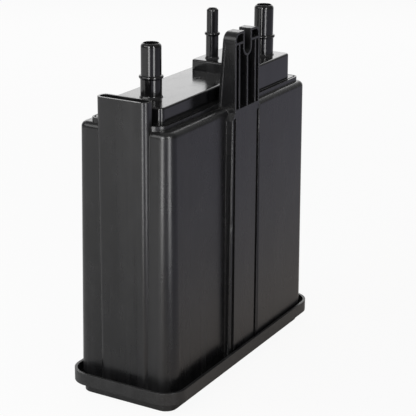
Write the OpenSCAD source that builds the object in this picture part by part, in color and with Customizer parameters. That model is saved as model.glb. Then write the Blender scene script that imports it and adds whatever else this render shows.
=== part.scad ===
// Charcoal canister for a fuel-vapour system.
// A drafted plastic box holds two carbon beds side by side. Gas enters through the stems of the welded
// top cover, passes down one bed, under the partition and up the other. A tray closes the bottom.
// Sizes are millimetres, +Z is up, the front with the bracket faces -Y, the end pocket faces -X.

/* [Body] */
// Length of the housing at the shoulder
body_l = 211; // [160:1:270]
// Depth of the deep right section at the shoulder
body_d = 87.6; // [66:0.1:115]
// Height of the shoulder above the ground
shoulder_z = 220.3; // [170:0.1:280]
// How far the left section of the front is set back
left_setback = 6.5; // [3:0.1:9]
// How far the bracket strip is set back
strip_setback = 0.6; // [0.4:0.1:2]
// Width of the bracket strip
strip_w = 39.6; // [32:0.1:50]
// Centre of the bracket strip along the length
strip_x = 2.6; // [-10:0.1:15]
// Radius of the upright corner beside the set-back front
corner_r = 10; // [8:0.1:12]
// Radius of the other upright corners
edge_r = 6.5; // [5.5:0.1:8]
// Fillet of the shoulder
shoulder_r = 4.5; // [3:0.1:5.4]
// Radius of the upright edges of the strip and the deep section
step_r = 0.8; // [0.5:0.1:1.6]
// Width of the grooves along the edges of the strip
groove_w = 3.6; // [2.4:0.1:4.2]
// Depth of the grooves
groove_d = 2.7; // [1.8:0.1:3.2]
// Distance of their round tops below the shoulder
groove_z = 6.2; // [5.5:0.1:9]
// Width of the ridge beside the left groove
ridge_w = 1.5; // [1.2:0.1:2.4]
// Mould draft of the outer walls in degrees
draft = 0.75; // [0.3:0.05:1]
// Wall of the housing
wall = 2.5; // [2:0.1:3.2]
// Thickness of the deck under the cover
deck_t = 3.2; // [2.5:0.1:4.5]

/* [Weld rim] */
// Distance of the rim from the ends of the housing
rim_end = 3; // [2.5:0.1:3.6]
// Distance of the rim from the long sides
rim_side = 8.4; // [7:0.1:10]
// Distance of the rim from the face of the deep section
rim_deep = 4.9; // [4.5:0.1:5.5]
// Height of the rim above the shoulder
rim_h = 3.6; // [2.5:0.1:5]
// Thickness of the rim
rim_t = 1.5; // [1.2:0.1:1.8]
// Radius of the rim's corner beside the set-back front
rim_r = 12; // [9:0.1:14]
// Radius of its other corners
rim_edge_r = 5.5; // [4:0.1:6.5]

/* [End pocket] */
// Width of the pocket
pocket_w = 44.5; // [34:0.1:48]
// How far it stands out from the end
pocket_out = 4.7; // [4:0.1:6]
// How far it reaches in above the shoulder
pocket_in = 7.1; // [5:0.1:9]
// Height of its top above the shoulder
pocket_h = 22.5; // [18:0.1:28]
// Radius of its upright edges
pocket_r = 4.8; // [3.6:0.1:5.2]
// Wall round the slot
pocket_wall = 1.9; // [1.5:0.1:2.4]

/* [Bracket] */
// Height of the bracket above the shoulder
bracket_h = 60.5; // [48:0.1:72]
// How much the back leans forward over the height
bracket_lean = 4.2; // [2:0.1:5]
// Radius of the top edges
bracket_r = 6.8; // [4:0.1:8]
// Depth of the shallow panels in its side walls
panel_d = 0.6; // [0.4:0.1:0.8]
// Thickness of walls and ribs
rib_t = 1.7; // [1.3:0.1:2.2]
// Distance of the side ribs from the middle rib
rib_step = 13; // [10.5:0.1:14.5]
// Height of the cross ribs above the shoulder
cross_z = 51.7; // [42:0.1:56]
// Half width of the channel
channel_r = 5.2; // [4.2:0.1:6.2]
// Height of the centre of the channel's round end above the shoulder
channel_z = 47; // [40:0.1:50]

/* [Top cover] */
// Height of the flange above the shoulder
flange_h = 3.7; // [3:0.1:5]
// Gap between the flange and the rim
flange_gap = 1.1; // [0.8:0.05:1.3]
// Height of the plateau above the shoulder
plateau_h = 15.4; // [12:0.1:19]
// Distance of the plateau from the left end of the housing
plateau_end = 12.6; // [11:0.1:16]
// Distance of the plateau from the long sides
plateau_side = 14.6; // [13:0.1:18]
// Radius of the upright edges of plateau and block
plateau_r = 4; // [2.5:0.1:5]
// Fillet of their top edges
cover_r = 1.6; // [1:0.1:2]
// Height of the raised block above the plateau
block_h = 9.5; // [7:0.1:12]
// Distance of the raised block from the bracket strip
block_gap = 4; // [3:0.1:5]
// Distance of the block from the right end of the housing
block_end = 14.3; // [12.5:0.1:17]
// Distance of the block from the face of the deep section
block_front = 8.3; // [8.1:0.1:10]
// Distance of the block from the back
block_back = 21; // [17:0.1:25]
// Wall of the cover
cover_wall = 2.2; // [1.8:0.1:2.8]

/* [Stems] */
// Radius of the two large stems
stem_r = 7.91; // [6.3:0.01:9.49]
// Radius of their bore
stem_bore = 6.05; // [5:0.05:7.2]
// Distance from bead to tip of the large stems
stem_tip = 26.2; // [21:0.1:32]
// Height of the bead of the large stems above the cover
stem_bead = 15.9; // [13:0.1:19]
// Radius of the thin stem
thin_r = 4.745; // [3.9:0.005:5.7]
// Radius of its bore
thin_bore = 3.4; // [2.8:0.05:4.1]
// Distance from bead to tip of the thin stem
thin_tip = 20.8; // [17:0.1:25]
// Height of the bead of the thin stem above the block
thin_bead = 20.5; // [16.5:0.1:24.5]
// Distance of the left stem from the left end of the housing
left_stem_x = 39.5; // [33:0.1:48]
// Distance of the right stem from the right face of the block
right_stem_x = 17.5; // [14:0.1:21]
// Distance of the right stem from the front of the block
right_stem_y = 16.2; // [13:0.1:20]
// Distance of the thin stem from the left and back faces of the block
thin_stem_in = 12.9; // [9:0.1:16]

/* [Bottom cap] */
// How far the cap reaches past the ends of the housing at the shoulder
cap_end = 15.4; // [12.5:0.1:19]
// How far the cap reaches past the long sides
cap_side = 6.3; // [5.8:0.1:7.8]
// Outer corner radius of the cap
cap_r = 18; // [14:0.1:20]
// Height of the rim of the cap above the ground
cap_z = 18.8; // [17:0.1:22]
// Thickness of the rim
cap_t = 2.2; // [1.8:0.1:2.6]
// Height of the foot
foot_h = 9; // [7.5:0.1:11]
// How far the foot is set in from the rim
foot_in = 8.3; // [7:0.1:10]
// Thickness of the floor and of the skirt of the foot
floor_t = 2.5; // [2:0.1:3]

/* [Filling] */
// Thickness of the partition
part_t = 2.5; // [2:0.1:3]
// Clearance of the filling to the walls
fill_gap = 0.3; // [0.2:0.05:0.5]
// Thickness of the pads
pad_t = 6; // [5:0.1:8]
// Thickness of the pressure plates
plate_t = 4; // [3:0.1:5]
// Room for the springs between floor and plate
spring_h = 16; // [13:0.1:19]
// Mean radius of the springs
spring_r = 13; // [10.5:0.1:15.5]
// Wire of the springs
wire_d = 2; // [1.7:0.1:2.4]

/* [Hidden] */
$fn = 64;
eps = 0.5;
xe = body_l / 2;
y_back = body_d / 2;
y_deep = -body_d / 2;
y_left = y_deep + left_setback;
y_strip = y_deep + strip_setback;
strip_x0 = strip_x - strip_w / 2;
strip_x1 = strip_x + strip_w / 2;
fillet_z = shoulder_z - shoulder_r;
ridge_z = shoulder_z - groove_z;
groove_x0 = strip_x0 - 0.6 * groove_w;
bracket_d = y_left + rim_side + rim_t - 0.3 - y_strip;
floor_z = foot_h + floor_t;
deck_z = shoulder_z - deck_t;
part_x = strip_x0 + wall - part_t / 2;
part_z = floor_z + 8;
pocket_y = (y_left + y_back) / 2 - 0.6;
plate_z = floor_z + spring_h;
bed_z = plate_z + plate_t + pad_t;
plateau_z = shoulder_z + plateau_h;
block_z = plateau_z + block_h;
block_x1 = xe - block_end;
block_x0 = strip_x1 + block_gap;
block_y0 = y_deep + block_front;
block_y1 = y_back - block_back;
plateau_x1 = block_x1 - 4;
plateau_y0 = y_left + plateau_side;
plateau_y1 = y_back - plateau_side;
rim_step_x = block_x0 - rim_t - flange_gap - 0.3;
spring_xs = [(part_x + xe) / 2 - xe / 4, (part_x + xe) / 2 + xe / 4];
vent_spring_x = (part_x - xe) / 2;

// Box from corner to corner.
module box(a, b) {
  translate(a) cube(b - a);
}

// Rounded rectangle from corner to corner, made of rectangles and circles.
module round_rect(a, b, r) {
  translate([a[0] + r, a[1]]) square([b[0] - a[0] - 2 * r, b[1] - a[1]]);
  translate([a[0], a[1] + r]) square([b[0] - a[0], b[1] - a[1] - 2 * r]);
  for (x = [a[0] + r, b[0] - r], y = [a[1] + r, b[1] - r]) translate([x, y]) circle(r);
}

// Wall section seen along the wall: u outwards from the corner axis, v up. The wall leans out by the draft
// towards the bottom and may end in a fillet f at the top.
module wall_section(r, f, z0, z1) {
  zf = z1 - f;
  d = (zf - z0) * tan(draft);
  if (zf > z0) polygon([[0, z0], [r + d, z0], [r, zf], [0, zf]]);
  if (f > 0) {
    translate([0, zf]) square([r - f, f]);
    intersection() {
      translate([r - f, zf]) circle(f);
      translate([r - f, zf]) square(f);
    }
  }
}

// The section swept round a corner axis c, quadrant q, and along a straight side that ends at c.
module corner(c, q, r, f, z0, z1) {
  translate(c) rotate([0, 0, 90 * q]) rotate_extrude(angle = 90) wall_section(r, f, z0, z1);
}

module side(c, q, len, r, f, z0, z1) {
  translate(c) rotate([0, 0, 90 * q]) translate([-len, 0, 0]) rotate([90, 0, 90])
    linear_extrude(len) wall_section(r, f, z0, z1);
}

// Upright box with rounded corners and drafted walls.
module drafted(a, b, r, f, z0, z1) {
  c = [b - [r, r], [a[0] + r, b[1] - r], a + [r, r], [b[0] - r, a[1] + r]];
  len = [b[0] - a[0] - 2 * r, b[1] - a[1] - 2 * r];
  box([c[2][0], c[2][1], z0], [c[0][0], c[0][1], z1]);
  for (q = [0:3]) {
    corner(c[q], q, r, f, z0, z1);
    side(c[q], q, len[q % 2], r, f, z0, z1);
  }
}

// Groove down the face of the strip, round at the top, leaning with the drafted walls.
module groove(x) {
  w = groove_w;
  zc = ridge_z - w / 2;
  lean = (fillet_z - floor_z) * tan(draft);
  intersection() {
    translate([strip_x - strip_w, 0, 0]) rotate([90, 0, 90]) linear_extrude(2 * strip_w)
      polygon([[y_strip - lean - 5, floor_z], [y_strip - lean + groove_d, floor_z],
        [y_strip + groove_d, fillet_z], [y_strip - 5, fillet_z]]);
    translate([x, y_strip + 5, 0]) rotate([90, 0, 0]) linear_extrude(15) {
      polygon([[-lean, floor_z], [w - lean, floor_z], [w, zc], [0, zc]]);
      translate([w / 2, zc]) circle(w / 2);
    }
  }
}

// Solid body: set-back left section, bracket strip and deep right section.
module body() {
  r = corner_r;
  e = edge_r;
  f = shoulder_r;
  y1 = y_left + r;
  xd = strip_x1 + step_r;
  xs = strip_x0 + step_r;
  box([-xe + r, y1, floor_z], [xe - e, y_back - e, shoulder_z]);
  corner([-xe + r, y1], 2, r, f, floor_z, shoulder_z);
  corner([-xe + e, y_back - e], 1, e, f, floor_z, shoulder_z);
  corner([xe - e, y_back - e], 0, e, f, floor_z, shoulder_z);
  corner([xe - e, y_deep + e], 3, e, f, floor_z, shoulder_z);
  side([-xe + r, y1], 2, xs + xe - r, r, f, floor_z, shoulder_z);
  side([-xe + r, y_back - e], 1, y_back - e - y1, r, f, floor_z, shoulder_z);
  side([xe - e, y_back - e], 0, body_l - 2 * e, e, f, floor_z, shoulder_z);
  side([xe - e, y_deep + e], 3, body_d - 2 * e, e, f, floor_z, shoulder_z);
  // Deep section.
  box([xd, y_deep + e, floor_z], [xe - e, y1, shoulder_z]);
  box([strip_x1, y_deep + e, fillet_z], [xd, y1, shoulder_z]);
  side([xd, y_deep + e], 2, xe - e - xd, e, 0, floor_z, fillet_z);
  side([strip_x1, y_deep + e], 2, xe - e - strip_x1, e, f, fillet_z, shoulder_z);
  corner([xd, y_deep + step_r], 2, step_r, 0, floor_z, fillet_z);
  side([xd, y1], 1, y1 - y_deep - step_r, step_r, 0, floor_z, fillet_z);
  // Strip with its ridge and grooves.
  difference() {
    union() {
      strip_part(xs, xd, fillet_z);
      intersection() {
        strip_part(xs - strip_x0 + groove_x0 - ridge_w, xs, ridge_z + groove_w);
        translate([strip_x0, 0, ridge_z]) rotate([90, 0, 0]) linear_extrude(2 * body_d, center = true)
          polygon([[-20, -shoulder_z], [2, -shoulder_z], [2, groove_w], [0, groove_w], [-20, groove_w - 28]]);
      }
    }
    groove(groove_x0);
    groove(strip_x1 - groove_w);
  }
}

// Drafted ledge as far out as the strip, with a rounded left edge whose axis is at xa.
module strip_part(xa, xb, z1) {
  y0 = y_strip + step_r;
  y1 = y_left + corner_r;
  box([xa, y0, floor_z], [xb, y1, z1]);
  corner([xa, y0], 2, step_r, 0, floor_z, z1);
  side([xa, y0], 2, xb - xa, step_r, 0, floor_z, z1);
  side([xa, y1], 1, y1 - y0, step_r, 0, floor_z, z1);
}

// Outline of the weld rim, stepped out at the deep section, moved in by i.
module rim_outline(i) {
  b = [xe - rim_end - i, y_back - rim_side - i];
  round_rect([-xe + rim_end + i, y_left + rim_side + i], b, rim_r - i);
  round_rect([-xe + rim_end + i, pocket_y], b, rim_edge_r - i);
  round_rect([rim_step_x + rim_r, y_deep + rim_deep + i], b, rim_edge_r - i);
  round_rect([rim_step_x + i, y_deep + rim_deep + i], [rim_step_x + 4 * rim_r, 0],
    rim_t + flange_gap + 0.3 - i);
}

// Bracket walls from the side: front leans back with the draft, back leans forward.
function front_y(z) = y_strip + (z + shoulder_r) * tan(draft);
function rear_y(z) = y_strip + bracket_d - bracket_lean * z / bracket_h;

module bracket_side(grow, thin, z0, z1) {
  translate([strip_x - strip_w, 0, shoulder_z]) rotate([90, 0, 90]) linear_extrude(2 * strip_w)
    polygon([[front_y(z0) - grow, z0], [rear_y(z0) - thin, z0],
      [rear_y(z1) - thin, z1], [front_y(z1) - grow, z1]]);
}

// Front view of the bracket, X across and Z up from the shoulder, extruded through the depth.
module bracket_front() {
  translate([strip_x, y_strip + 3 * bracket_d, shoulder_z]) rotate([90, 0, 0])
    linear_extrude(6 * bracket_d) children();
}

module channel_shape(r, top) {
  translate([0, channel_z]) circle(r);
  translate([-r, channel_z]) square([2 * r, top - channel_z]);
}

module bracket() {
  hw = strip_w / 2;
  difference() {
    intersection() {
      bracket_side(0, 0, -shoulder_r, bracket_h);
      bracket_front() {
        translate([-hw, -shoulder_r]) square([2 * hw, bracket_h + shoulder_r - bracket_r]);
        translate([-hw + bracket_r, 0]) square([2 * (hw - bracket_r), bracket_h]);
        for (s = [-1, 1]) translate([s * (hw - bracket_r), bracket_h - bracket_r]) circle(bracket_r);
      }
    }
    // Ribbed cells, open to the front.
    intersection() {
      bracket_side(eps, rib_t, 0, bracket_h + 1);
      bracket_front() difference() {
        union() {
          translate([-hw + rib_t, 0]) square([2 * (hw - rib_t), bracket_h - bracket_r]);
          translate([-hw + bracket_r, 0]) square([2 * (hw - bracket_r), bracket_h - rib_t]);
          for (s = [-1, 1]) translate([s * (hw - bracket_r), bracket_h - bracket_r])
            circle(bracket_r - rib_t);
        }
        for (x = [-rib_step, 0, rib_step]) translate([x - rib_t / 2, -1]) square([rib_t, cross_z + 1]);
        translate([-hw, cross_z - rib_t / 2]) square([2 * hw, rib_t]);
        channel_shape(channel_r + rib_t, bracket_h);
      }
    }
    // Channel, open to the front and the top.
    intersection() {
      bracket_side(eps, rib_t, 0, bracket_h + 1);
      bracket_front() channel_shape(channel_r, bracket_h + 1);
    }
    bracket_front() translate([-channel_r, bracket_h - 3]) square([2 * channel_r, 4]);
    // Shallow panels in the side walls.
    intersection() {
      bracket_side(-1.2, 2.2, 1, cross_z);
      bracket_front() for (s = [-1, 1]) translate([s * hw - panel_d, 0]) square([2 * panel_d, bracket_h]);
    }
  }
}

// Pocket on the left end: a flat box down the whole end with a slot in its top.
module pocket() {
  xo = -xe - pocket_out;
  translate([0, 0, floor_z]) linear_extrude(shoulder_z + pocket_h - floor_z)
    round_rect([xo, pocket_y - pocket_w / 2], [-xe + pocket_in, pocket_y + pocket_w / 2], pocket_r);
}

module pocket_slot() {
  w = pocket_wall;
  translate([0, 0, shoulder_z + 1.5]) linear_extrude(pocket_h)
    round_rect([-xe - pocket_out + w, pocket_y - pocket_w / 2 + w],
      [-xe + pocket_in - w, pocket_y + pocket_w / 2 - w], pocket_r - w);
}

// Inside of the housing, moved in by c; main is right of the partition, vent is left of it.
module chamber(main, c, z0, z1) {
  i = wall + c;
  y0 = main ? y_strip + groove_d : y_left;
  intersection() {
    drafted([-xe + i, y0 + i], [xe - i, y_back - i], corner_r - wall, 0, floor_z, deck_z);
    if (main) box([part_x + part_t / 2 + c, -body_d, z0], [body_l, body_d, z1]);
    else box([-body_l, -body_d, z0], [part_x - part_t / 2 - c, body_d, z1]);
  }
}

// Square openings of the grid over one chamber.
module grid(x0, x1, y0, y1, n, m) {
  w = (x1 - x0) / n;
  d = (y1 - y0) / m;
  for (i = [0:n - 1], j = [0:m - 1])
    box([x0 + i * w + 1, y0 + j * d + 1, deck_z - 1],
      [x0 + (i + 1) * w - 1, y0 + (j + 1) * d - 1, shoulder_z + 1]);
}

module housing() {
  color([0.07, 0.07, 0.075]) difference() {
    union() {
      body();
      bracket();
      pocket();
      translate([0, 0, shoulder_z - 1]) linear_extrude(rim_h + 1) difference() {
        rim_outline(0);
        rim_outline(rim_t);
      }
    }
    chamber(true, 0, floor_z - 1, deck_z);
    chamber(false, 0, floor_z - 1, deck_z);
    box([part_x - part_t, y_left + wall, floor_z - 1], [part_x + part_t, y_back - wall, part_z]);
    grid(part_x + 6, block_x1 - 6, plateau_y0 + 5, block_y1 - 5, 8, 4);
    grid(-xe + plateau_end + 6, part_x - 6, plateau_y0 + 5, plateau_y1 - 5, 6, 4);
    pocket_slot();
  }
}

// One hollow stem: flared foot, tube, bead, stem and rounded nose. The bore is cut afterwards.
module stem(r, bead, tip, nose) {
  z = bead + tip;
  rotate_extrude() {
    polygon([[0, -1], [r + 1.4, -1], [r + 1.4, 0], [r + 0.4, 1.6], [r + 0.4, bead], [0, bead]]);
    translate([0, bead - 1.45]) square([r + 0.1, 2.9]);
    intersection() {
      translate([r + 0.1, bead]) circle(1.45);
      translate([0, bead - 2]) square([2 * r, 4]);
    }
    translate([0, bead]) square([r, tip - nose]);
    square([r - nose, z]);
    intersection() {
      translate([r - nose, z - nose]) circle(nose);
      translate([0, z - nose]) square([2 * r, nose]);
    }
  }
}

module top_cover() {
  w = cover_wall;
  left = [-xe + left_stem_x, (plateau_y0 + plateau_y1) / 2, plateau_z];
  right = [block_x1 - right_stem_x, block_y0 + right_stem_y, block_z];
  thin = [block_x0 + thin_stem_in, block_y1 - thin_stem_in, block_z];
  i = rim_t + flange_gap;
  color([0.08, 0.08, 0.085]) difference() {
    union() {
      translate([0, 0, shoulder_z]) linear_extrude(flange_h) difference() {
        rim_outline(i);
        translate([-xe - 1, pocket_y - pocket_w / 2 - flange_gap])
          square([pocket_in + flange_gap + 1, pocket_w + 2 * flange_gap]);
      }
      drafted([-xe + plateau_end, plateau_y0], [plateau_x1, plateau_y1],
        plateau_r, cover_r, shoulder_z, plateau_z);
      drafted([block_x0, block_y0], [block_x1, block_y1], plateau_r, cover_r, shoulder_z, block_z);
      translate(left) stem(stem_r, stem_bead, stem_tip, 3.2);
      translate(right) stem(stem_r, stem_bead, stem_tip, 3.2);
      translate(thin) stem(thin_r, thin_bead, thin_tip, 2);
    }
    // Gas spaces over the two grids.
    box([-xe + plateau_end + w, plateau_y0 + w, shoulder_z - 1],
      [part_x - part_t / 2, plateau_y1 - w, plateau_z - w]);
    box([part_x + part_t / 2, plateau_y0 + w, shoulder_z - 1],
      [plateau_x1 - w, plateau_y1 - w, plateau_z - w]);
    box([block_x0 + w, block_y0 + w, shoulder_z - 1], [block_x1 - w, block_y1 - w, block_z - w]);
    translate(left - [0, 0, w + 1]) cylinder(h = 2 * stem_tip + stem_bead, r = stem_bore);
    translate(right - [0, 0, w + 1]) cylinder(h = 2 * stem_tip + stem_bead, r = stem_bore);
    translate(thin - [0, 0, w + 1]) cylinder(h = 2 * thin_tip + thin_bead, r = thin_bore);
  }
}

module bottom_cap() {
  a = [xe + cap_end, y_back + cap_side];
  f = a - [foot_in, foot_in];
  color([0.09, 0.09, 0.09]) {
    difference() {
      union() {
        translate([0, 0, foot_h]) linear_extrude(cap_z - foot_h) round_rect(-a, a, cap_r);
        linear_extrude(foot_h) round_rect(-f, f, cap_r - foot_in);
      }
      translate([0, 0, floor_z]) linear_extrude(cap_z)
        round_rect(-a + [cap_t, cap_t], a - [cap_t, cap_t], cap_r - cap_t);
      // Ribbed underside inside the skirt of the foot.
      translate([0, 0, -1]) linear_extrude(foot_h + 1) difference() {
        round_rect(-f + [floor_t, floor_t], f - [floor_t, floor_t], cap_r - foot_in - floor_t);
        for (k = [-1:1]) translate([k * f[0] / 2 - floor_t / 2, -f[1]]) square([floor_t, 2 * f[1]]);
        translate([-f[0], -floor_t / 2]) square([2 * f[0], floor_t]);
      }
    }
    // Spring seats on the floor.
    for (x = concat(spring_xs, [vent_spring_x])) translate([x, 0, floor_z])
      difference() {
        cylinder(h = 5, r = spring_r - wire_d / 2 - 0.5);
        translate([0, 0, -1]) cylinder(h = 7, r = spring_r - wire_d / 2 - 2.5);
      }
  }
}

module plate(main, xs) {
  x0 = main ? part_x + part_t / 2 : -xe;
  x1 = main ? xe : part_x - part_t / 2;
  difference() {
    union() {
      chamber(main, fill_gap, plate_z, plate_z + plate_t);
      for (x = xs) translate([x, 0, plate_z - 4]) difference() {
        cylinder(h = 5, r = spring_r - wire_d / 2 - 0.5);
        translate([0, 0, -1]) cylinder(h = 7, r = spring_r - wire_d / 2 - 2.5);
      }
    }
    for (i = [0.5:4.5], j = [-1, 1]) translate([x0 + i * (x1 - x0) / 5, j * body_d / 3.6, plate_z - 6])
      cylinder(h = plate_t + 8, r = (x1 - x0) / 20);
  }
}

module main_pressure_plate() {
  color([0.16, 0.16, 0.17]) plate(true, spring_xs);
}

module vent_pressure_plate() {
  color([0.16, 0.16, 0.17]) plate(false, [vent_spring_x]);
}

module main_lower_pad() {
  color([0.75, 0.75, 0.72]) chamber(true, fill_gap, plate_z + plate_t, bed_z);
}

module vent_lower_pad() {
  color([0.75, 0.75, 0.72]) chamber(false, fill_gap, plate_z + plate_t, bed_z);
}

module main_carbon_bed() {
  color([0.03, 0.03, 0.03]) chamber(true, fill_gap, bed_z, deck_z - pad_t);
}

module vent_carbon_bed() {
  color([0.03, 0.03, 0.03]) chamber(false, fill_gap, bed_z, deck_z - pad_t);
}

module main_upper_pad() {
  color([0.75, 0.75, 0.72]) chamber(true, fill_gap, deck_z - pad_t, deck_z);
}

module vent_upper_pad() {
  color([0.75, 0.75, 0.72]) chamber(false, fill_gap, deck_z - pad_t, deck_z);
}

// Open coil spring standing on the floor and reaching the plate.
module spring(x) {
  turns = 3.25;
  per = 16;
  sides = 8;
  n = turns * per;
  h = spring_h - wire_d;
  pts = [for (i = [0:n], k = [0:sides - 1])
    let (t = 360 * i / per, u = 360 * k / sides, q = spring_r + wire_d / 2 * cos(u))
    [q * cos(t), q * sin(t), wire_d / 2 + h * i / n + wire_d / 2 * sin(u)]];
  quads = [for (i = [0:n - 1], k = [0:sides - 1])
    [i * sides + k, (i + 1) * sides + k, (i + 1) * sides + (k + 1) % sides, i * sides + (k + 1) % sides]];
  ends = [[for (k = [0:sides - 1]) k], [for (k = [sides - 1:-1:0]) floor(n) * sides + k]];
  translate([x, 0, floor_z]) polyhedron(points = pts, faces = concat(quads, ends), convexity = 8);
}

module main_spring_left() {
  color([0.6, 0.6, 0.62]) spring(spring_xs[0]);
}

module main_spring_right() {
  color([0.6, 0.6, 0.62]) spring(spring_xs[1]);
}

module vent_spring() {
  color([0.6, 0.6, 0.62]) spring(vent_spring_x);
}

housing();
top_cover();
bottom_cap();
main_carbon_bed();
vent_carbon_bed();
main_upper_pad();
vent_upper_pad();
main_lower_pad();
vent_lower_pad();
main_pressure_plate();
vent_pressure_plate();
main_spring_left();
main_spring_right();
vent_spring();
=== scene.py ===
"""Looks of a charcoal canister: a moulded black box with stems, bracket, pocket and bottom tray."""

import math

import bpy
from bpy.props import FloatProperty, FloatVectorProperty, PointerProperty
from mathutils import Matrix, Vector


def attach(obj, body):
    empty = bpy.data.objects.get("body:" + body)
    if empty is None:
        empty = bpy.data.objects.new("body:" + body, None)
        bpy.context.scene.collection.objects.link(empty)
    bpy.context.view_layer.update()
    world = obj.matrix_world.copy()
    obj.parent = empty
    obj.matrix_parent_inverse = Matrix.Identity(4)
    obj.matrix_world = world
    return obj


bl_info = {
    "name": "Charcoal Canister",
    "version": (1, 0, 0),
    "blender": (4, 5, 0),
    "location": "View3D > Sidebar > Canister",
    "description": "Dresses the packed canister, adds its gate mark and sets a white studio",
    "category": "Object",
}

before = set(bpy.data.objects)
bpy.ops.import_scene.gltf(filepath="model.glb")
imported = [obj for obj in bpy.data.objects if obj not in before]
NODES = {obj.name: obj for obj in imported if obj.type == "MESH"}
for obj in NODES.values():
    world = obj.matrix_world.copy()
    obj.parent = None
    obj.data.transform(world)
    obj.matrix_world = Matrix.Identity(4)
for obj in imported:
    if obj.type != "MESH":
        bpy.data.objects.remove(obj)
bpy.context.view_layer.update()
MM = 0.001

PADS = ("main_upper_pad", "vent_upper_pad", "main_lower_pad", "vent_lower_pad")
BEDS = ("main_carbon_bed", "vent_carbon_bed")
PLATES = ("main_pressure_plate", "vent_pressure_plate")
SPRINGS = ("main_spring_left", "main_spring_right", "vent_spring")

# Moulded skins: depth of the grain and of the slow waves, abrasion and painted highlight on edges,
# painted light in grooves
HOUSING_SKIN = {"grain": 0.35, "wave": 0.9, "wear_and_edge_highlight": 0.15, "painted_groove_light": 0.5}
COVER_SKIN = {"grain": 0.15, "wave": 0.5, "wear_and_edge_highlight": 0.5, "painted_groove_light": 0.0}
CAP_SKIN = {"grain": 1.6, "wave": 0.5, "wear_and_edge_highlight": 0.8, "painted_groove_light": 0.0}
PLATE_SKIN = {"grain": 0.8, "wave": 0.5, "wear_and_edge_highlight": 0.5, "painted_groove_light": 0.0}

# Lighter tones of a plastic, as a factor and a lift of its colour: one for streaks, haze, mottle and
# smudges, one for rub marks and for edges, where it is partly abrasion and partly a painted
# highlight; then the dust that settles on it, and a painted light laid in grooves, where shade falls
PALE_TONE = (1.3, 0.020)
WEAR_AND_HIGHLIGHT_TONE = (2.6, 0.020)
DUST_COLOUR = (0.30, 0.29, 0.27, 1.0)
PAINTED_GROOVE_LIGHT_COLOUR = (0.10, 0.097, 0.093, 1.0)

# How far each mark tints the plastic at most, and what it adds to the roughness
STREAK_TINT, CLOUD_TINT, MOTTLE_TINT = 0.62, 0.18, 0.25
SMUDGE_TINT, RUB_TINT, DUST_TINT = 0.40, 0.25, 0.06
CLOUD_HAZE, STREAK_HAZE, RUB_HAZE, DUST_HAZE = 0.08, 0.05, 0.10, 0.12
PLASTIC_IOR, PLASTIC_SPECULAR = 1.50, 0.50

# Gate mark: widths as shares of its radius, depths and heights as shares of its height
GATE_SIDES = 48
GATE_SUNK = 0.1 * MM
GATE_BEVEL = 0.05 * MM
RING_WIDTH, RING_SLOPE, DISH_WIDTH, SPRUE_FOOT = 0.22, 0.12, 0.36, 0.05
DISH_DEPTH, SPRUE_HEIGHT, SPRUE_TOP = 0.8, 0.7, 0.9
SPRUE_TAPER, SPRUE_TILT = 0.8, 0.35
SOFT_SEGMENTS = 2
SOFT_ANGLE = math.radians(30.0)

# Floor: its painted light, a tint from the front (0) to the canister's middle line (1), bluer and
# dimmer in front and warmer and brighter near the canister; and its white for the camera
WHITE = (1.0, 1.0, 1.0, 1.0)
FLOOR_SIZE, FLOOR_DROP = 8.0, 0.0002
FLOOR_FADE = (-0.35, 0.0)
FLOOR_LIGHT_STOPS = (
    (0.0, (0.74, 0.73, 0.86, 1.0)),
    (0.50, (0.83, 0.81, 0.85, 1.0)),
    (0.80, (0.98, 0.90, 0.84, 1.0)),
    (1.0, (0.93, 0.93, 0.93, 1.0)),
)
FLOOR_WHITE = 0.93

# Sky: the way to the bright back wall, and where the wall and the ceiling begin and end
BACK_WAY = (0.866, 0.5)
WALL_FADE = (0.50, 0.85)
CEILING_FADE = (0.50, 0.72)

# Lamps: name, place, target, width and height, strength setting, seen in gloss only
CORNER_MIDDLE = (-0.095, -0.027, 0.10)
CORNER_TOP = (-0.095, -0.027, 0.22)
STRIP_SIZE = (0.13, 0.55)
BOX_SIZE = (0.14, 0.18)
LAMPS = (
    ("top_panel", (-1.12, 0.60, 0.80), (-1.02, 0.57, 0.0), (1.2, 1.2), "top_panel", False),
    ("back_panel", (1.30, 0.75, 0.74), (0.0, 0.0, 0.24), (1.6, 0.95), "back_panel", False),
    ("left_strip", (-0.512, -0.068, 0.10), CORNER_MIDDLE, STRIP_SIZE, "strips", True),
    ("front_strip", (-0.267, -0.410, 0.10), CORNER_MIDDLE, STRIP_SIZE, "strips", True),
    ("left_box", (-0.786, -0.095, 0.62), CORNER_TOP, BOX_SIZE, "boxes", True),
    ("front_box", (-0.378, -0.660, 0.62), CORNER_TOP, BOX_SIZE, "boxes", True),
)

SENSOR_WIDTH = 36.0
CLIP_NEAR, CLIP_FAR = 0.05, 30.0


# Settings


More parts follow.
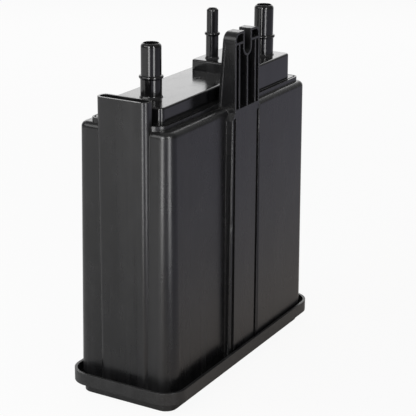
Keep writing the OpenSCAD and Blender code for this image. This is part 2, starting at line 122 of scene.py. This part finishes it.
class CanisterFinish(bpy.types.PropertyGroup):
    """Colours and surface values of the mouldings and the filling."""

    housing_colour: FloatVectorProperty(
        name="Housing colour", description="Plastic of the tall box", subtype="COLOR", size=3,
        min=0, max=1, default=(0.0060, 0.0060, 0.0067))
    cover_colour: FloatVectorProperty(
        name="Cover colour", description="Plastic of the welded cover and its stems",
        subtype="COLOR", size=3, min=0, max=1, default=(0.0050, 0.0050, 0.0057))
    cap_colour: FloatVectorProperty(
        name="Cap colour", description="Plastic of the bottom tray and the pressure plates",
        subtype="COLOR", size=3, min=0, max=1, default=(0.0075, 0.0075, 0.0078))
    housing_roughness: FloatProperty(
        name="Housing roughness", description="Roughness of the box where it is hazy",
        subtype="FACTOR", min=0, max=1, default=0.30)
    cover_roughness: FloatProperty(
        name="Cover roughness", description="Roughness of the cover where it is hazy",
        subtype="FACTOR", min=0, max=1, default=0.16)
    cap_roughness: FloatProperty(
        name="Cap roughness", description="Roughness of the grained tray where it is hazy",
        subtype="FACTOR", min=0, max=1, default=0.42)
    edge_radius: FloatProperty(
        name="Edge radius", description="Softening of the moulded edges", unit="LENGTH", min=0,
        default=0.45 * MM)
    carbon_colour: FloatVectorProperty(
        name="Carbon colour", description="Pelletised carbon of the beds", subtype="COLOR", size=3,
        min=0, max=1, default=(0.012, 0.012, 0.012))
    fleece_colour: FloatVectorProperty(
        name="Fleece colour", description="Needled pads above and below the beds",
        subtype="COLOR", size=3, min=0, max=1, default=(0.62, 0.61, 0.57))
    steel_colour: FloatVectorProperty(
        name="Spring colour", description="Drawn wire of the springs", subtype="COLOR", size=3,
        min=0, max=1, default=(0.52, 0.52, 0.54))


class CanisterDetail(bpy.types.PropertyGroup):
    """Size and place of the gate mark."""

    gate_place: FloatVectorProperty(
        name="Gate place", description="Where the cover was filled, on top of its plateau",
        subtype="TRANSLATION", size=3, default=(6.3 * MM, 4.4 * MM, 235.7 * MM))
    gate_radius: FloatProperty(
        name="Gate radius", description="Radius of the round gate mark", unit="LENGTH", min=0,
        default=2.3 * MM)
    gate_height: FloatProperty(
        name="Gate height", description="Height of the gate mark's ring", unit="LENGTH", min=0,
        default=0.32 * MM)


class CanisterStage(bpy.types.PropertyGroup):
    """Camera and studio."""

    azimuth: FloatProperty(
        name="Azimuth", description="Turn of the camera about the upright axis", subtype="ANGLE",
        default=math.radians(-59.94))
    elevation: FloatProperty(
        name="Elevation", description="Height of the camera above the horizon", subtype="ANGLE",
        default=math.radians(19.26))
    roll: FloatProperty(
        name="Roll", description="Tilt of the camera about its own axis", subtype="ANGLE",
        default=math.radians(0.39))
    distance: FloatProperty(
        name="Distance", description="From the camera to the aim point", unit="LENGTH",
        default=1.1369)
    aim: FloatVectorProperty(
        name="Aim point", description="Point the camera circles", subtype="TRANSLATION", size=3,
        default=(-0.01545, -0.00725, 0.120))
    lens: FloatProperty(
        name="Focal length", description="Focal length on a 36 mm sensor, in millimetres",
        unit="CAMERA", default=120.9)
    shift: FloatVectorProperty(
        name="Shift", description="Camera shift across and up", size=2, default=(0.0297, 0.0387))
    ambient: FloatProperty(
        name="Ambient", description="Strength of the sky for diffuse light", min=0, default=0.30)
    ceiling: FloatProperty(
        name="Ceiling", description="Strength of the dim ceiling in reflections", min=0,
        default=0.35)
    room: FloatProperty(
        name="Room", description="Strength of the dim room in front of the object in reflections",
        min=0, default=0.18)
    floor_glow: FloatProperty(
        name="Floor in reflections", description="Share of the unshaded paper in the mirrored floor",
        subtype="FACTOR", min=0, max=1, default=0.20)
    top_panel: FloatProperty(
        name="Top panel", description="Radiance of the soft panel over the floor at the left back",
        min=0, default=2.4)
    back_panel: FloatProperty(
        name="Back panel", description="Radiance of the soft panel behind the object", min=0,
        default=1.05)
    strips: FloatProperty(
        name="Side strips", description="Radiance of the two upright strips", min=0, default=7.0)
    boxes: FloatProperty(
        name="Small boxes", description="Radiance of the two small boxes above the strips", min=0,
        default=30.0)


# Shader helpers


def node(tree, kind, inputs=None, **settings):
    """A new shader node with its settings and plain input values."""
    made = tree.nodes.new(kind)
    for key, value in settings.items():
        setattr(made, key, value)
    for key, value in (inputs or {}).items():
        made.inputs[key].default_value = value
    return made


def wire(tree, source, target):
    tree.links.new(source, target)


def new_group(name, inputs, outputs):
    """An empty shader group with its sockets, its input node and its output node."""
    tree = bpy.data.node_groups.new(name, "ShaderNodeTree")
    for label, kind, default in inputs:
        socket = tree.interface.new_socket(label, in_out="INPUT", socket_type=kind)
        if default is not None:
            socket.default_value = default
    for label, kind in outputs:
        tree.interface.new_socket(label, in_out="OUTPUT", socket_type=kind)
    return tree, tree.nodes.new("NodeGroupInput"), tree.nodes.new("NodeGroupOutput")


def new_material(name):
    """A new material with its node tree, its shader and its Object coordinates."""
    material = bpy.data.materials.new(name)
    material.use_nodes = True
    tree = material.node_tree
    place = node(tree, "ShaderNodeTexCoord").outputs["Object"]
    return material, tree, tree.nodes["Principled BSDF"], place


def maths(tree, operation, a, b, clamp=False):
    """A Math node; each term is a socket or a number."""
    made = node(tree, "ShaderNodeMath", operation=operation, use_clamp=clamp)
    for k, term in enumerate((a, b)):
        if isinstance(term, (int, float)):
            made.inputs[k].default_value = term
        else:
            wire(tree, term, made.inputs[k])
    return made.outputs[0]


def times(tree, a, b):
    return maths(tree, "MULTIPLY", a, b)


def plus(tree, a, b):
    return maths(tree, "ADD", a, b)


def greater(tree, a, b):
    return maths(tree, "MAXIMUM", a, b)


def mapped(tree, value, low, high, to_low=0.0, to_high=1.0):
    """A clamped Map Range from low..high."""
    limits = {"From Min": low, "From Max": high, "To Min": to_low, "To Max": to_high}
    made = node(tree, "ShaderNodeMapRange", limits, clamp=True)
    wire(tree, value, made.inputs["Value"])
    return made.outputs["Result"]


def noise(tree, vector, scale=1.0, detail=3.0, rough=0.5):
    values = {"Scale": scale, "Detail": detail, "Roughness": rough}
    made = node(tree, "ShaderNodeTexNoise", values)
    wire(tree, vector, made.inputs["Vector"])
    return made.outputs["Fac"]


def scaled(tree, vector, x=1.0, y=1.0, z=1.0):
    """Coordinates multiplied along each axis, so that a pattern is drawn out."""
    made = node(tree, "ShaderNodeMapping", {"Scale": (x, y, z)})
    wire(tree, vector, made.inputs["Vector"])
    return made.outputs["Vector"]


def two_tone(tree, value, colour, first, second):
    """A ramp between two stops, each a position and a factor of the colour."""
    ramp = node(tree, "ShaderNodeValToRGB")
    for stop, (position, factor) in zip(ramp.color_ramp.elements, (first, second)):
        stop.position = position
        stop.color = tuple(c * factor for c in colour) + (1.0,)
    wire(tree, value, ramp.inputs["Fac"])
    return ramp.outputs["Color"]


def raise_surface(tree, shader, height, strength, distance, normal=None, invert=False):
    """Bumps the shader's normal by a height."""
    values = {"Strength": strength, "Distance": distance}
    bump = node(tree, "ShaderNodeBump", values, invert=invert)
    wire(tree, height, bump.inputs["Height"])
    if normal is not None:
        wire(tree, normal, bump.inputs["Normal"])
    wire(tree, bump.outputs["Normal"], shader.inputs["Normal"])


# Shared effects


def edge_group():
    """Softened normal along moulded edges, a mask of the outer edges and one of narrow grooves."""
    tree, given, made = new_group(
        "Soft edges", [("Radius", "NodeSocketFloat", 0.4 * MM)],
        [("Normal", "NodeSocketVector"), ("Edge", "NodeSocketFloat"),
         ("Groove", "NodeSocketFloat")])
    soft = node(tree, "ShaderNodeBevel", samples=6)
    wire(tree, given.outputs["Radius"], soft.inputs["Radius"])
    plain = node(tree, "ShaderNodeNewGeometry")
    dot = node(tree, "ShaderNodeVectorMath", operation="DOT_PRODUCT")
    wire(tree, soft.outputs["Normal"], dot.inputs[0])
    wire(tree, plain.outputs["Normal"], dot.inputs[1])
    wire(tree, soft.outputs["Normal"], made.inputs["Normal"])
    open_air = node(
        tree, "ShaderNodeAmbientOcclusion", {"Distance": 4.0 * MM}, samples=6, only_local=True)
    turned = mapped(tree, dot.outputs["Value"], low=0.995, high=0.80)
    outer = mapped(tree, open_air.outputs["AO"], low=0.55, high=0.90)
    wire(tree, times(tree, turned, outer), made.inputs["Edge"])
    wire(tree, mapped(tree, open_air.outputs["AO"], low=0.75, high=0.35), made.inputs["Groove"])
    return tree


def skin_group():
    """Moulded skin: grain with slow waves of a shrunk wall, flow streaks, haze clouds and mottle."""
    tree, given, made = new_group(
        "Moulded skin",
        [("Vector", "NodeSocketVector", None), ("Grain", "NodeSocketFloat", 0.5),
         ("Wave", "NodeSocketFloat", 0.5)],
        [("Height", "NodeSocketFloat"), ("Streak", "NodeSocketFloat"),
         ("Cloud", "NodeSocketFloat"), ("Mottle", "NodeSocketFloat")])
    vector = given.outputs["Vector"]
    fine = noise(tree, vector, scale=2600.0, detail=2.0, rough=0.6)
    pits = node(
        tree, "ShaderNodeTexVoronoi", {"Scale": 1500.0, "Randomness": 1.0}, feature="SMOOTH_F1")
    wire(tree, vector, pits.inputs["Vector"])
    slow = noise(tree, scaled(tree, vector, z=0.45), scale=26.0, detail=2.0, rough=0.45)
    streak = noise(tree, scaled(tree, vector, x=90.0, y=90.0, z=3.2), detail=3.0, rough=0.55)
    cloud = noise(tree, vector, scale=17.0, detail=4.0, rough=0.55)
    spots = noise(tree, vector, scale=520.0, detail=3.0, rough=0.6)
    mottle = mapped(tree, spots, low=0.38, high=0.66)
    grain = times(tree, fine, 0.6)
    grain = plus(tree, grain, times(tree, pits.outputs["Distance"], 0.4))
    grain = plus(tree, grain, times(tree, mottle, 1.2))
    grain = times(tree, grain, given.outputs["Grain"])
    wave = times(tree, slow, given.outputs["Wave"])
    wire(tree, plus(tree, grain, wave), made.inputs["Height"])
    wire(tree, mapped(tree, streak, low=0.44, high=0.68), made.inputs["Streak"])
    wire(tree, mapped(tree, cloud, low=0.30, high=0.72), made.inputs["Cloud"])
    wire(tree, mottle, made.inputs["Mottle"])
    return tree


def handling_group():
    """Fine rub marks, soft smudges, and a thin settled dust on faces that look up."""
    tree, given, made = new_group(
        "Handling marks", [("Vector", "NodeSocketVector", None)],
        [("Rub", "NodeSocketFloat"), ("Smudge", "NodeSocketFloat"), ("Dust", "NodeSocketFloat")])
    vector = given.outputs["Vector"]
    lines = noise(tree, scaled(tree, vector, x=420.0, y=420.0, z=22.0), detail=2.0, rough=0.4)
    patches = noise(tree, vector, scale=34.0, detail=2.0, rough=0.5)
    rub = times(tree, mapped(tree, lines, low=0.64, high=0.74),
                mapped(tree, patches, low=0.50, high=0.66))
    wire(tree, rub, made.inputs["Rub"])
    smear = noise(tree, scaled(tree, vector, z=0.55), scale=62.0, detail=5.0, rough=0.62)
    wire(tree, mapped(tree, smear, low=0.47, high=0.66), made.inputs["Smudge"])
    facing = node(tree, "ShaderNodeNewGeometry")
    split = node(tree, "ShaderNodeSeparateXYZ")
    wire(tree, facing.outputs["Normal"], split.inputs[0])
    specks = noise(tree, vector, scale=900.0, detail=3.0, rough=0.7)
    dust = times(tree, mapped(tree, split.outputs["Z"], low=0.35, high=0.95),
                 mapped(tree, specks, low=0.48, high=0.75))
    wire(tree, dust, made.inputs["Dust"])
    return tree


EFFECTS = {}


def effect(tree, name):
    """A shared effect placed in a material; all three are built once."""
    if not EFFECTS:
        EFFECTS.update(edges=edge_group(), skin=skin_group(), marks=handling_group())
    return node(tree, "ShaderNodeGroup", node_tree=EFFECTS[name])


# Materials


def moulded_plastic(name, colour, rough, radius, skin):
    """Moulded black plastic with soft edges, grain, streaks, haze, rub marks, dust, edges lightened
    partly by abrasion and partly as a painted highlight, and painted light in grooves.
    """
    material, tree, shader, place = new_material(name)
    edges = effect(tree, "edges")
    edges.inputs["Radius"].default_value = radius
    surface = effect(tree, "skin")
    surface.inputs["Grain"].default_value = skin["grain"]
    surface.inputs["Wave"].default_value = skin["wave"]
    marks = effect(tree, "marks")
    wire(tree, place, surface.inputs["Vector"])
    wire(tree, place, marks.inputs["Vector"])

    def tone(factor, lift):
        return tuple(min(1.0, c * factor + lift) for c in colour) + (1.0,)

    base, pale, wear_and_highlight = tuple(colour) + (1.0,), tone(*PALE_TONE), tone(*WEAR_AND_HIGHLIGHT_TONE)
    streak, cloud = surface.outputs["Streak"], surface.outputs["Cloud"]
    rub, dust = marks.outputs["Rub"], marks.outputs["Dust"]
    shade = None
    for mask, share, over in (
            (streak, STREAK_TINT, pale),
            (cloud, CLOUD_TINT, pale),
            (surface.outputs["Mottle"], MOTTLE_TINT * skin["grain"], pale),
            # Edges: lighter partly from abrasion and partly as a painted highlight
            (edges.outputs["Edge"], skin["wear_and_edge_highlight"], wear_and_highlight),
            (marks.outputs["Smudge"], SMUDGE_TINT, pale),
            (rub, RUB_TINT, wear_and_highlight),
            (dust, DUST_TINT, DUST_COLOUR),
            # Grooves: painted light, a lighter colour that lifts the shade where the grooves lie
            (edges.outputs["Groove"], skin["painted_groove_light"], PAINTED_GROOVE_LIGHT_COLOUR)):
        mix = node(tree, "ShaderNodeMix", data_type="RGBA")
        if shade is None:
            mix.inputs["A"].default_value = base
        else:
            wire(tree, shade, mix.inputs["A"])
        mix.inputs["B"].default_value = over
        wire(tree, times(tree, mask, share), mix.inputs["Factor"])
        shade = mix.outputs["Result"]
    wire(tree, shade, shader.inputs["Base Color"])

    haze = plus(tree, rough - CLOUD_HAZE, times(tree, cloud, CLOUD_HAZE))
    haze = plus(tree, haze, times(tree, streak, STREAK_HAZE))
    haze = plus(tree, haze, times(tree, rub, RUB_HAZE))
    haze = maths(tree, "ADD", haze, times(tree, dust, DUST_HAZE), clamp=True)
    wire(tree, haze, shader.inputs["Roughness"])

    raise_surface(tree, shader, surface.outputs["Height"], strength=0.35, distance=0.12 * MM,
                  normal=edges.outputs["Normal"])
    shader.inputs["IOR"].default_value = PLASTIC_IOR
    shader.inputs["Specular IOR Level"].default_value = PLASTIC_SPECULAR
    return material


def carbon_pellets(colour):
    """Packed carbon pellets: cells with rounded tops, painted lighter at their middles and with
    painted shade in the gaps.
    """
    material, tree, shader, place = new_material("Carbon pellets")
    cells = node(tree, "ShaderNodeTexVoronoi", {"Scale": 420.0}, feature="F1")
    wire(tree, place, cells.inputs["Vector"])
    depth = cells.outputs["Distance"]
    # Painted light and shade: lighter at each cell's middle, darker towards the gaps between pellets
    wire(tree, two_tone(tree, depth, colour, (0.0, 2.2), (1.0, 0.4)), shader.inputs["Base Color"])
    rough = mapped(tree, noise(tree, place, scale=700.0), 0.3, 0.7, to_low=0.65, to_high=0.9)
    wire(tree, rough, shader.inputs["Roughness"])
    raise_surface(tree, shader, depth, strength=0.9, distance=0.8 * MM, invert=True)
    return material


def needled_fleece(colour):
    """Needled fleece: crossing fibres, with painted shade between them."""
    material, tree, shader, place = new_material("Needled fleece")
    along = noise(
        tree, scaled(tree, place, x=2400.0, y=160.0, z=700.0), detail=4.0, rough=0.6)
    across = noise(
        tree, scaled(tree, place, x=180.0, y=2200.0, z=700.0), detail=4.0, rough=0.6)
    fibres = greater(tree, along, across)
    # Painted shade: darker where no fibre lies on top
    wire(tree, two_tone(tree, fibres, colour, (0.35, 0.62), (0.75, 1.0)),
         shader.inputs["Base Color"])
    rough = mapped(tree, fibres, 0.3, 0.8, to_low=0.95, to_high=0.8)
    wire(tree, rough, shader.inputs["Roughness"])
    raise_surface(tree, shader, fibres, strength=0.6, distance=0.5 * MM)
    shader.inputs["Sheen Weight"].default_value = 0.3
    return material


def drawn_wire(colour):
    """Drawn spring steel with fine drawing lines and darker handling spots."""
    material, tree, shader, place = new_material("Drawn spring wire")
    lines = noise(
        tree, scaled(tree, place, x=500.0, y=500.0, z=3800.0), detail=3.0, rough=0.6)
    spots = noise(tree, place, scale=160.0, detail=4.0, rough=0.6)
    wire(tree, two_tone(tree, spots, colour, (0.35, 0.6), (0.6, 1.0)),
         shader.inputs["Base Color"])
    rough = mapped(tree, lines, 0.3, 0.7, to_low=0.24, to_high=0.42)
    wire(tree, rough, shader.inputs["Roughness"])
    raise_surface(tree, shader, lines, strength=0.2, distance=0.1 * MM)
    shader.inputs["Metallic"].default_value = 1.0
    return material


def dress(names, material):
    """Gives CAD nodes one material."""
    for name in names:
        NODES[name].data.materials.clear()
        NODES[name].data.materials.append(material)


# Modelling helpers


def inset_selected(width):
    bpy.ops.mesh.inset(thickness=width)


def lift_selected(height):
    bpy.ops.transform.translate(value=(0.0, 0.0, height))


def extrude_selected(height):
    bpy.ops.mesh.extrude_region_move(TRANSFORM_OT_translate={"value": (0.0, 0.0, height)})


def finish_piece(piece, material, bevel):
    """Puts a piece's place in its mesh, rounds its edges, dresses it and ties it to the canister."""
    bpy.ops.object.mode_set(mode="OBJECT")
    bpy.ops.object.transform_apply(location=True, rotation=True, scale=True)
    soft = piece.modifiers.new("Soft edges", "BEVEL")
    soft.width, soft.segments, soft.angle_limit = bevel, SOFT_SEGMENTS, SOFT_ANGLE
    bpy.ops.object.modifier_apply(modifier=soft.name)
    bpy.ops.object.shade_smooth_by_angle(angle=SOFT_ANGLE)
    piece.data.materials.clear()
    piece.data.materials.append(material)
    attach(piece, "root")


# Operators


class CANISTER_OT_housing(bpy.types.Operator):
    """Dress the tall housing with its bracket, pocket and weld rim"""

    bl_idname = "canister.housing"
    bl_label = "Housing"

    def execute(self, context):
        look = context.scene.canister_finish
        dress(["housing"], moulded_plastic(
            "Housing plastic", look.housing_colour, look.housing_roughness, look.edge_radius,
            HOUSING_SKIN))
        return {"FINISHED"}


class CANISTER_OT_cover(bpy.types.Operator):
    """Dress the welded cover with its stems"""

    bl_idname = "canister.cover"
    bl_label = "Cover and stems"

    def execute(self, context):
        look = context.scene.canister_finish
        dress(["top_cover"], moulded_plastic(
            "Cover plastic", look.cover_colour, look.cover_roughness, look.edge_radius,
            COVER_SKIN))
        return {"FINISHED"}


class CANISTER_OT_gate_mark(bpy.types.Operator):
    """Model the round gate mark with its broken sprue on top of the plateau"""

    bl_idname = "canister.gate_mark"
    bl_label = "Gate mark"

    def execute(self, context):
        part = context.scene.canister_detail
        radius, high = part.gate_radius, part.gate_height
        seat = Vector(part.gate_place)
        bpy.ops.object.select_all(action="DESELECT")
        bpy.ops.mesh.primitive_circle_add(
            vertices=GATE_SIDES, radius=radius, fill_type="NGON",
            location=seat - Vector((0.0, 0.0, GATE_SUNK)))
        mark = context.object
        mark.name = "gate_mark"
        bpy.ops.object.mode_set(mode="EDIT")
        bpy.ops.mesh.select_all(action="SELECT")
        # Each step leaves the inner face selected: disc, ring, dish, and the sprue in the dish
        extrude_selected(GATE_SUNK + high)
        inset_selected(RING_WIDTH * radius)
        inset_selected(RING_SLOPE * radius)
        lift_selected(-DISH_DEPTH * high)
        inset_selected(DISH_WIDTH * radius)
        inset_selected(SPRUE_FOOT * radius)
        extrude_selected(SPRUE_HEIGHT * high)
        bpy.ops.transform.resize(value=(SPRUE_TAPER, SPRUE_TAPER, 1.0))
        bpy.ops.transform.rotate(
            value=SPRUE_TILT, orient_axis="X",
            center_override=seat + Vector((0.0, 0.0, SPRUE_TOP * high)))
        bpy.ops.mesh.select_all(action="SELECT")
        bpy.ops.mesh.normals_make_consistent(inside=False)
        finish_piece(mark, bpy.data.materials["Cover plastic"], GATE_BEVEL)
        return {"FINISHED"}


class CANISTER_OT_cap(bpy.types.Operator):
    """Dress the bottom tray and the pressure plates above it"""

    bl_idname = "canister.cap"
    bl_label = "Bottom cap"

    def execute(self, context):
        look = context.scene.canister_finish
        dress(["bottom_cap"], moulded_plastic(
            "Cap plastic", look.cap_colour, look.cap_roughness, look.edge_radius, CAP_SKIN))
        dress(PLATES, moulded_plastic(
            "Plate plastic", look.cap_colour, look.cap_roughness, look.edge_radius, PLATE_SKIN))
        return {"FINISHED"}


class CANISTER_OT_filling(bpy.types.Operator):
    """Dress the carbon beds, the fleece pads and the springs inside"""

    bl_idname = "canister.filling"
    bl_label = "Filling"

    def execute(self, context):
        look = context.scene.canister_finish
        dress(BEDS, carbon_pellets(look.carbon_colour))
        dress(PADS, needled_fleece(look.fleece_colour))
        dress(SPRINGS, drawn_wire(look.steel_colour))
        return {"FINISHED"}


class CANISTER_OT_stage(bpy.types.Operator):
    """Set the white floor, the soft lights, the sky and the camera"""

    bl_idname = "canister.stage"
    bl_label = "Studio"

    def execute(self, context):
        scene = context.scene
        stage = scene.canister_stage
        scene.view_settings.view_transform = "Standard"
        self.floor(stage)
        self.sky(scene, stage)
        for name, place, target, size, setting, glint in LAMPS:
            self.lamp(scene, name, place, target, size, getattr(stage, setting), glint)
        self.camera(scene, stage)
        return {"FINISHED"}

    def floor(self, stage):
        """Pale paper that keeps the shadow and is plain white to the camera; its tint is painted
        light, which the canister mirrors.
        """
        bpy.ops.object.select_all(action="DESELECT")
        bpy.ops.mesh.primitive_plane_add(size=FLOOR_SIZE, location=(0.0, 0.0, -FLOOR_DROP))
        floor = bpy.context.object
        floor.name = "studio_floor"
        bpy.ops.object.transform_apply(location=True, rotation=True, scale=True)
        material = bpy.data.materials.new("Pale floor")
        material.use_nodes = True
        tree = material.node_tree
        tree.nodes.clear()
        out = node(tree, "ShaderNodeOutputMaterial")
        matt = node(tree, "ShaderNodeBsdfDiffuse")
        glow = node(tree, "ShaderNodeEmission", {"Strength": 1.0})
        split = node(tree, "ShaderNodeSeparateXYZ")
        wire(tree, node(tree, "ShaderNodeTexCoord").outputs["Object"], split.inputs[0])
        # The paper's tint is painted light: bluer and dimmer in front, warmer and brighter near the
        # canister
        paper = node(tree, "ShaderNodeValToRGB")
        stops = paper.color_ramp.elements
        for position, _ in FLOOR_LIGHT_STOPS[1:-1]:
            stops.new(position)
        for stop, (_, colour) in zip(stops, FLOOR_LIGHT_STOPS):
            stop.color = colour
        wire(tree, mapped(tree, split.outputs["Y"], *FLOOR_FADE), paper.inputs["Fac"])
        wire(tree, paper.outputs["Color"], matt.inputs["Color"])
        ray = node(tree, "ShaderNodeLightPath")
        camera_ray = ray.outputs["Is Camera Ray"]
        white = node(tree, "ShaderNodeMix", {"B": WHITE}, data_type="RGBA")
        wire(tree, camera_ray, white.inputs["Factor"])
        wire(tree, paper.outputs["Color"], white.inputs["A"])
        wire(tree, white.outputs["Result"], glow.inputs["Color"])
        seen = greater(tree, camera_ray, ray.outputs["Is Transmission Ray"])
        mirrored = times(tree, ray.outputs["Is Glossy Ray"], stage.floor_glow)
        mix = node(tree, "ShaderNodeMixShader")
        wire(tree, greater(tree, times(tree, seen, FLOOR_WHITE), mirrored), mix.inputs["Fac"])
        wire(tree, matt.outputs[0], mix.inputs[1])
        wire(tree, glow.outputs[0], mix.inputs[2])
        wire(tree, mix.outputs[0], out.inputs["Surface"])
        floor.data.materials.append(material)

    def sky(self, scene, stage):
        """White to the camera, dim to diffuse light, and in gloss a bright wall behind the object."""
        world = bpy.data.worlds.new("Studio sky")
        scene.world = world
        world.use_nodes = True
        tree = world.node_tree
        back = tree.nodes["Background"]
        back.inputs["Color"].default_value = WHITE
        split = node(tree, "ShaderNodeSeparateXYZ")
        wire(tree, node(tree, "ShaderNodeTexCoord").outputs["Generated"], split.inputs[0])
        behind = plus(tree, times(tree, split.outputs["X"], BACK_WAY[0]),
                      times(tree, split.outputs["Y"], BACK_WAY[1]))
        wall = mapped(tree, behind, *WALL_FADE, to_low=stage.room, to_high=1.0)
        above = mapped(tree, split.outputs["Z"], *CEILING_FADE)
        below = maths(tree, "SUBTRACT", 1.0, above)
        wall = plus(tree, times(tree, wall, below), times(tree, above, stage.ceiling))
        ray = node(tree, "ShaderNodeLightPath")
        gloss = greater(tree, ray.outputs["Is Glossy Ray"], ray.outputs["Is Transmission Ray"])
        soft = times(tree, ray.outputs["Is Diffuse Ray"], stage.ambient)
        strength = greater(tree, times(tree, gloss, wall), soft)
        strength = greater(tree, strength, ray.outputs["Is Camera Ray"])
        wire(tree, strength, back.inputs["Strength"])

    def lamp(self, scene, name, place, target, size, radiance, glint):
        """A soft panel of the given width, height and radiance; a glint lamp shows in gloss only."""
        light = bpy.data.lights.new(name, "AREA")
        light.shape = "RECTANGLE"
        light.size, light.size_y = size
        light.energy = radiance * math.pi * size[0] * size[1]
        panel = bpy.data.objects.new(name, light)
        scene.collection.objects.link(panel)
        panel.location = place
        aim = Vector(target) - Vector(place)
        panel.rotation_euler = aim.to_track_quat("-Z", "Y").to_euler()
        panel.visible_camera = False
        panel.visible_diffuse = not glint

    def camera(self, scene, stage):
        """The photograph's view, turned about the aim point and rolled about its own axis."""
        a, e, t = stage.azimuth, stage.elevation, stage.roll
        back = Vector((math.sin(a) * math.cos(e), -math.cos(a) * math.cos(e), math.sin(e)))
        right = Vector((math.cos(a), math.sin(a), 0.0))
        up = back.cross(right)
        turned = Matrix((
            math.cos(t) * right + math.sin(t) * up,
            math.cos(t) * up - math.sin(t) * right,
            back)).transposed()
        data = bpy.data.cameras.new("Studio camera")
        data.lens = stage.lens
        data.sensor_width = SENSOR_WIDTH
        data.shift_x, data.shift_y = stage.shift
        data.clip_start, data.clip_end = CLIP_NEAR, CLIP_FAR
        camera = bpy.data.objects.new("studio_camera", data)
        scene.collection.objects.link(camera)
        place = Vector(stage.aim) + back * stage.distance
        camera.matrix_world = Matrix.Translation(place) @ turned.to_4x4()
        scene.camera = camera


class CANISTER_PT_sidebar(bpy.types.Panel):
    """Canister pieces, finishes and studio"""

    bl_idname = "CANISTER_PT_sidebar"
    bl_label = "Charcoal Canister"
    bl_space_type = "VIEW_3D"
    bl_region_type = "UI"
    bl_category = "Canister"

    def draw(self, context):
        layout = self.layout
        for step in STEPS:
            layout.operator(step.bl_idname)
        scene = context.scene
        for settings in (scene.canister_finish, scene.canister_detail, scene.canister_stage):
            box = layout.box()
            for name in settings.__annotations__:
                box.prop(settings, name)


STEPS = (CANISTER_OT_housing, CANISTER_OT_cover, CANISTER_OT_gate_mark, CANISTER_OT_cap,
         CANISTER_OT_filling, CANISTER_OT_stage)
CLASSES = (CanisterFinish, CanisterDetail, CanisterStage) + STEPS + (CANISTER_PT_sidebar,)


def register():
    for cls in CLASSES:
        bpy.utils.register_class(cls)
    bpy.types.Scene.canister_finish = PointerProperty(type=CanisterFinish)
    bpy.types.Scene.canister_detail = PointerProperty(type=CanisterDetail)
    bpy.types.Scene.canister_stage = PointerProperty(type=CanisterStage)


def unregister():
    del bpy.types.Scene.canister_stage
    del bpy.types.Scene.canister_detail
    del bpy.types.Scene.canister_finish
    for cls in reversed(CLASSES):
        bpy.utils.unregister_class(cls)


def main():
    register()
    bpy.ops.canister.housing()
    bpy.ops.canister.cover()
    bpy.ops.canister.gate_mark()
    bpy.ops.canister.cap()
    bpy.ops.canister.filling()
    bpy.ops.canister.stage()


if __name__ == "__main__":
    main()
